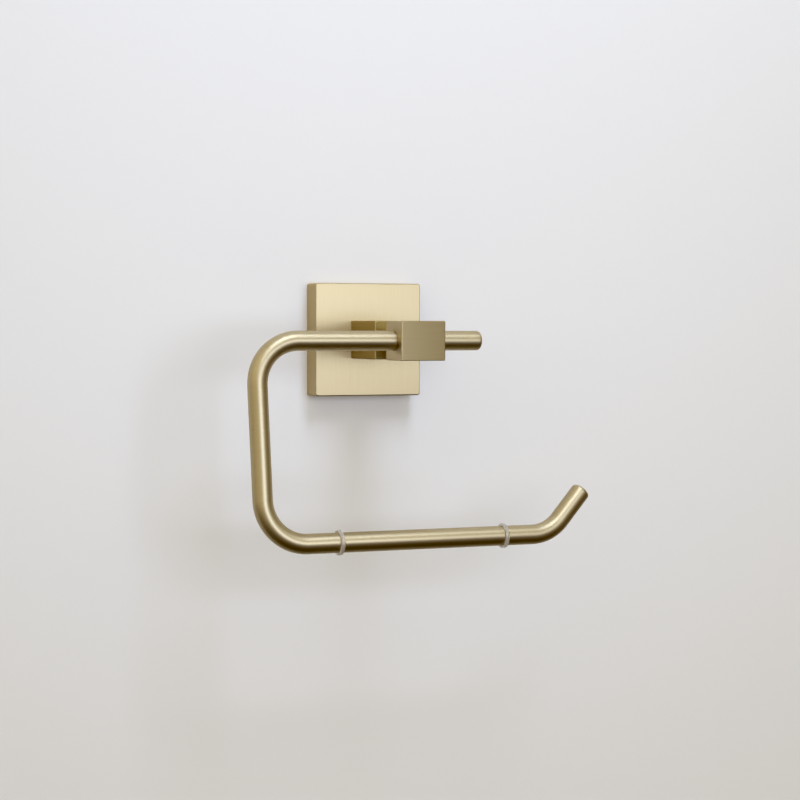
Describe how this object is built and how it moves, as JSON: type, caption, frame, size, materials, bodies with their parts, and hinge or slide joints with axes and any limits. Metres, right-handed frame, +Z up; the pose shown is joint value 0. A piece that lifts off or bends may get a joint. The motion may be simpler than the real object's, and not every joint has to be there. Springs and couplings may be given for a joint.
{
  "type": "toilet paper holder",
  "caption": "Wall-mounted open-arm toilet paper holder: square cover, square post and head, bent round bar that swings, clear rings that slide to keep the roll in place.",
  "frame": {"origin": "on the wall, behind the middle of the square cover", "axes": "+Y into the wall, -Y out into the room, +X towards the open end of the arm, +Z up"},
  "size_m": [0.1745, 0.1245, 0.1289],
  "materials": {
    "satin_brass": "fine brushed satin, clear lacquered",
    "zinc_steel": "bright zinc plated",
    "black_steel": "black oxide",
    "grey_plastic": "moulded",
    "clear_silicone": "translucent, smooth"
  },
  "bodies": {
    "wall_mount": {"wall_cover": "satin_brass", "mounting_bracket": "zinc_steel", "wall_screw_upper": "zinc_steel", "wall_screw_lower": "zinc_steel", "wall_plug_upper": "grey_plastic", "wall_plug_lower": "grey_plastic", "cover_grub_screw": "black_steel", "post": "satin_brass", "post_screw": "zinc_steel", "post_spring_washer": "zinc_steel", "neck": "satin_brass", "head_block": "satin_brass", "head_grub_screw": "black_steel"},
    "arm": {"arm": "satin_brass"},
    "ring_left": {"roll_ring_left": "clear_silicone"},
    "ring_right": {"roll_ring_right": "clear_silicone"}
  },
  "joints": [
    {"name": "arm_swing", "type": "hinge", "parent": "wall_mount", "child": "arm", "pos_m": [0, -0.07297, 0], "axis": [-1, 0, 0], "range_deg": [-50, 82]},
    {"name": "ring_left_slide", "type": "slide", "parent": "arm", "child": "ring_left", "axis": [1, 0, 0], "range_m": [-0.014, 0.038]},
    {"name": "ring_right_slide", "type": "slide", "parent": "arm", "child": "ring_right", "axis": [1, 0, 0], "range_m": [-0.04, 0.0135]}
  ]
}
